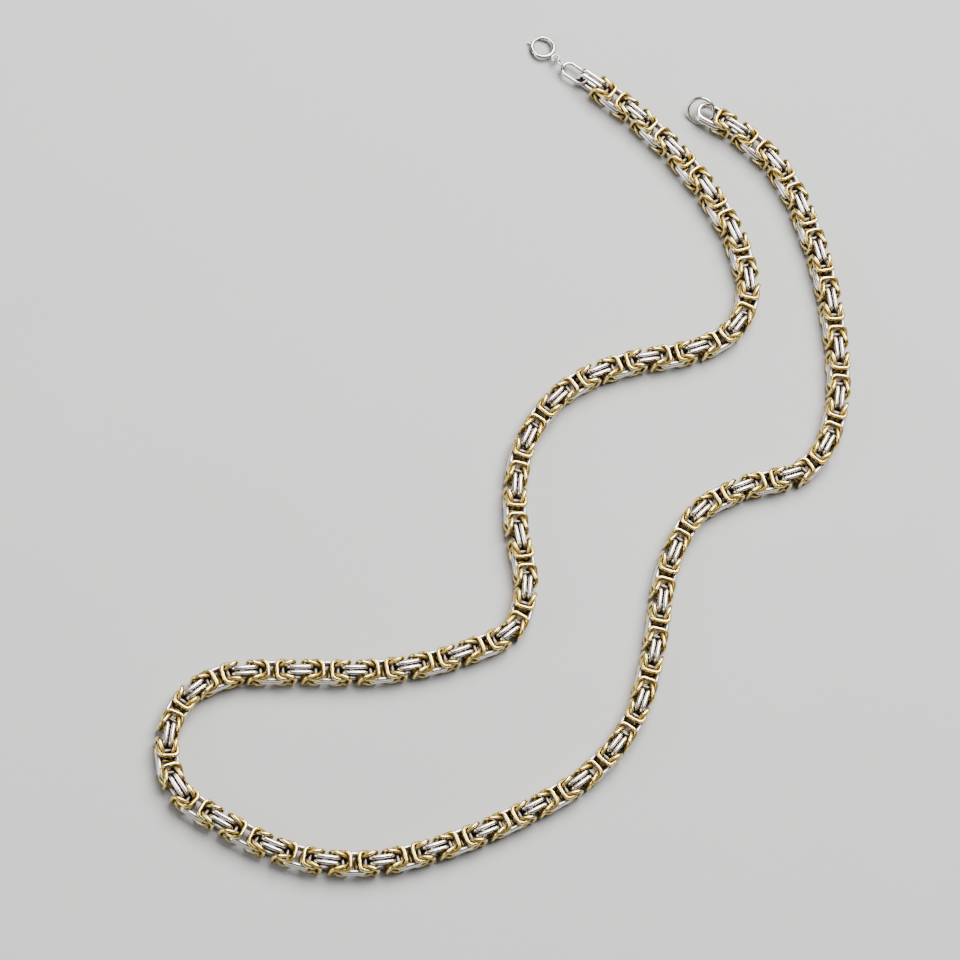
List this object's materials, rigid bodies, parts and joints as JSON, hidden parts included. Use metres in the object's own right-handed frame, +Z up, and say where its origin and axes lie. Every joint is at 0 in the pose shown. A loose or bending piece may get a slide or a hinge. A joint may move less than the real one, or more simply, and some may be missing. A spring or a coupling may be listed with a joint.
{
  "type": "byzantine neck chain",
  "caption": "Undone neck chain of byzantine weave in two metal colours, lying flat in a long loop, with a spring ring clasp on one end and a round closing ring on the other.",
  "frame": {"origin": "middle of the lying chain's outline, on the surface that it lies on", "axes": "+Y along the longer side of the outline, towards the clasp; +Z up from the surface"},
  "size_m": [0.1588, 0.207, 0.0052],
  "materials": {
    "silver_links": "polished steel wire, near white, with small scuffs",
    "gold_links": "polished pale gold plating over steel wire",
    "end_rings": "steel wire and tube with a softer shine than the links",
    "clasp_bolt": "drawn steel wire"
  },
  "bodies": {
    "chain": {"chain_clasp_half": "gold_links", "chain_ring_half": "gold_links", "bar_link_left": "silver_links", "bar_link_right": "silver_links", "end_oval": "end_rings", "clasp_jump_ring": "end_rings", "clasp_ring": "end_rings", "end_link_upper": "silver_links", "end_link_lower": "silver_links", "closing_ring": "end_rings"},
    "bolt": {"clasp_bolt": "clasp_bolt"}
  },
  "joints": [
    {"name": "bolt_draw", "type": "hinge", "parent": "chain", "child": "bolt", "pos_m": [0.00781, 0.10065, 0.00102], "axis": [-0.1155, 0.1132, 0.9868], "range_deg": [0, 56], "stiffness_Nm_per_rad": 0.003, "springref_deg": -11.46}
  ]
}
